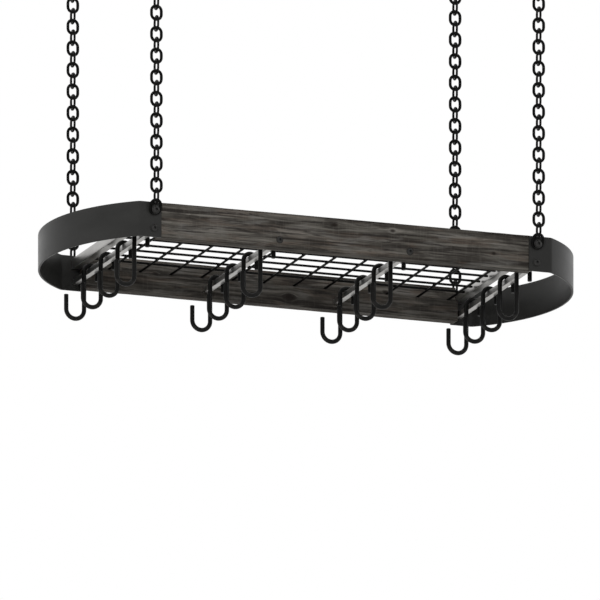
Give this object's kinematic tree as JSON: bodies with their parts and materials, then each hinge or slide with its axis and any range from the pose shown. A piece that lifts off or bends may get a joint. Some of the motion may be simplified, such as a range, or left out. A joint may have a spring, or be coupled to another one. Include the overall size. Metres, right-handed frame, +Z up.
{
  "type": "hanging pot rack",
  "caption": "Hanging pot rack of weathered wood boards and bowed steel end bands, with cross bars, sliding pot hooks, a lift-out wire shelf and chains on ceiling screw hooks.",
  "frame": {"origin": "on the ceiling's face, midway between the four screw hooks", "axes": "+X along the boards, +Y from the near board to the far one, +Z up into the ceiling"},
  "size_m": [1.1632, 0.5548, 0.8981],
  "materials": {
    "weathered_wood": "dark grey-brown barn wood with open grain, dry and matt",
    "charcoal_steel": "charcoal satin paint on flat steel",
    "satin_steel": "dark grey satin bar that mirrors its surroundings softly",
    "shelf_wire": "black satin coated wire",
    "bolt_steel": "black oxide bolts and washers",
    "chain_steel": "black satin chain",
    "hook_steel": "near-black satin bent rod"
  },
  "bodies": {
    "ceiling_hooks": {"ceiling_hook_near_left": "chain_steel", "ceiling_hook_near_right": "chain_steel", "ceiling_hook_far_left": "chain_steel", "ceiling_hook_far_right": "chain_steel"},
    "chain_near_left": {"chain_near_left": "chain_steel"},
    "chain_near_right": {"chain_near_right": "chain_steel"},
    "chain_far_left": {"chain_far_left": "chain_steel"},
    "chain_far_right": {"chain_far_right": "chain_steel"},
    "rack": {"board_near": "weathered_wood", "board_far": "weathered_wood", "end_band_left": "charcoal_steel", "end_band_right": "charcoal_steel", "cross_bar_1": "satin_steel", "cross_bar_2": "satin_steel", "cross_bar_3": "satin_steel", "cross_bar_4": "satin_steel", "end_rail_left": "satin_steel", "end_rail_right": "satin_steel", "upper_bolts": "bolt_steel", "upper_washers": "bolt_steel", "end_bolts": "bolt_steel", "end_washers": "bolt_steel", "middle_bolts": "bolt_steel"},
    "shelf": {"shelf_grid": "shelf_wire"},
    "pot_hook_1_1": {"pot_hook_1_1": "hook_steel"},
    "pot_hook_1_2": {"pot_hook_1_2": "hook_steel"},
    "pot_hook_1_3": {"pot_hook_1_3": "hook_steel"},
    "pot_hook_1_4": {"pot_hook_1_4": "hook_steel"},
    "pot_hook_2_1": {"pot_hook_2_1": "hook_steel"},
    "pot_hook_2_2": {"pot_hook_2_2": "hook_steel"},
    "pot_hook_2_3": {"pot_hook_2_3": "hook_steel"},
    "pot_hook_2_4": {"pot_hook_2_4": "hook_steel"},
    "pot_hook_3_1": {"pot_hook_3_1": "hook_steel"},
    "pot_hook_3_2": {"pot_hook_3_2": "hook_steel"},
    "pot_hook_3_3": {"pot_hook_3_3": "hook_steel"},
    "pot_hook_3_4": {"pot_hook_3_4": "hook_steel"},
    "pot_hook_4_1": {"pot_hook_4_1": "hook_steel"},
    "pot_hook_4_2": {"pot_hook_4_2": "hook_steel"},
    "pot_hook_4_3": {"pot_hook_4_3": "hook_steel"},
    "pot_hook_4_4": {"pot_hook_4_4": "hook_steel"}
  },
  "joints": [
    {"name": "rack_sway", "type": "hinge", "parent": "ceiling_hooks", "child": "chain_near_left", "pos_m": [-0.4294, -0.25937, -0.03775], "axis": [0, 1, 0], "range_deg": [-8, 8]},
    {"name": "chain_near_right_sway", "type": "hinge", "parent": "ceiling_hooks", "child": "chain_near_right", "pos_m": [0.4294, -0.25937, -0.03775], "axis": [0, 1, 0], "range_deg": [-8, 8]},
    {"name": "chain_far_left_sway", "type": "hinge", "parent": "ceiling_hooks", "child": "chain_far_left", "pos_m": [-0.4294, 0.25937, -0.03775], "axis": [0, 1, 0], "range_deg": [-8, 8]},
    {"name": "chain_far_right_sway", "type": "hinge", "parent": "ceiling_hooks", "child": "chain_far_right", "pos_m": [0.4294, 0.25937, -0.03775], "axis": [0, 1, 0], "range_deg": [-8, 8]},
    {"name": "rack_level", "type": "hinge", "parent": "chain_near_left", "child": "rack", "pos_m": [-0.4294, -0.246, -0.71], "axis": [0, 1, 0], "range_deg": [-8, 8]},
    {"name": "shelf_lift", "type": "slide", "parent": "rack", "child": "shelf", "axis": [0, 0, 1], "range_m": [0, 0.08]},
    {"name": "pot_hook_1_1_slide", "type": "slide", "parent": "rack", "child": "pot_hook_1_1", "axis": [0, 1, 0], "range_m": [-0.045, 0.045]},
    {"name": "pot_hook_1_2_slide", "type": "slide", "parent": "rack", "child": "pot_hook_1_2", "axis": [0, 1, 0], "range_m": [-0.045, 0.045]},
    {"name": "pot_hook_1_3_slide", "type": "slide", "parent": "rack", "child": "pot_hook_1_3", "axis": [0, 1, 0], "range_m": [-0.045, 0.045]},
    {"name": "pot_hook_1_4_slide", "type": "slide", "parent": "rack", "child": "pot_hook_1_4", "axis": [0, 1, 0], "range_m": [-0.045, 0.045]},
    {"name": "pot_hook_2_1_slide", "type": "slide", "parent": "rack", "child": "pot_hook_2_1", "axis": [0, 1, 0], "range_m": [-0.045, 0.045]},
    {"name": "pot_hook_2_2_slide", "type": "slide", "parent": "rack", "child": "pot_hook_2_2", "axis": [0, 1, 0], "range_m": [-0.045, 0.045]},
    {"name": "pot_hook_2_3_slide", "type": "slide", "parent": "rack", "child": "pot_hook_2_3", "axis": [0, 1, 0], "range_m": [-0.045, 0.045]},
    {"name": "pot_hook_2_4_slide", "type": "slide", "parent": "rack", "child": "pot_hook_2_4", "axis": [0, 1, 0], "range_m": [-0.045, 0.045]},
    {"name": "pot_hook_3_1_slide", "type": "slide", "parent": "rack", "child": "pot_hook_3_1", "axis": [0, 1, 0], "range_m": [-0.045, 0.045]},
    {"name": "pot_hook_3_2_slide", "type": "slide", "parent": "rack", "child": "pot_hook_3_2", "axis": [0, 1, 0], "range_m": [-0.045, 0.045]},
    {"name": "pot_hook_3_3_slide", "type": "slide", "parent": "rack", "child": "pot_hook_3_3", "axis": [0, 1, 0], "range_m": [-0.045, 0.045]},
    {"name": "pot_hook_3_4_slide", "type": "slide", "parent": "rack", "child": "pot_hook_3_4", "axis": [0, 1, 0], "range_m": [-0.045, 0.045]},
    {"name": "pot_hook_4_1_slide", "type": "slide", "parent": "rack", "child": "pot_hook_4_1", "axis": [0, 1, 0], "range_m": [-0.045, 0.045]},
    {"name": "pot_hook_4_2_slide", "type": "slide", "parent": "rack", "child": "pot_hook_4_2", "axis": [0, 1, 0], "range_m": [-0.045, 0.045]},
    {"name": "pot_hook_4_3_slide", "type": "slide", "parent": "rack", "child": "pot_hook_4_3", "axis": [0, 1, 0], "range_m": [-0.045, 0.045]},
    {"name": "pot_hook_4_4_slide", "type": "slide", "parent": "rack", "child": "pot_hook_4_4", "axis": [0, 1, 0], "range_m": [-0.045, 0.045]}
  ],
  "couplings": [
    {"joint": "chain_near_right_sway", "follows": "rack_sway", "ratio": 1},
    {"joint": "chain_far_left_sway", "follows": "rack_sway", "ratio": 1},
    {"joint": "chain_far_right_sway", "follows": "rack_sway", "ratio": 1},
    {"joint": "rack_level", "follows": "rack_sway", "ratio": -1}
  ]
}
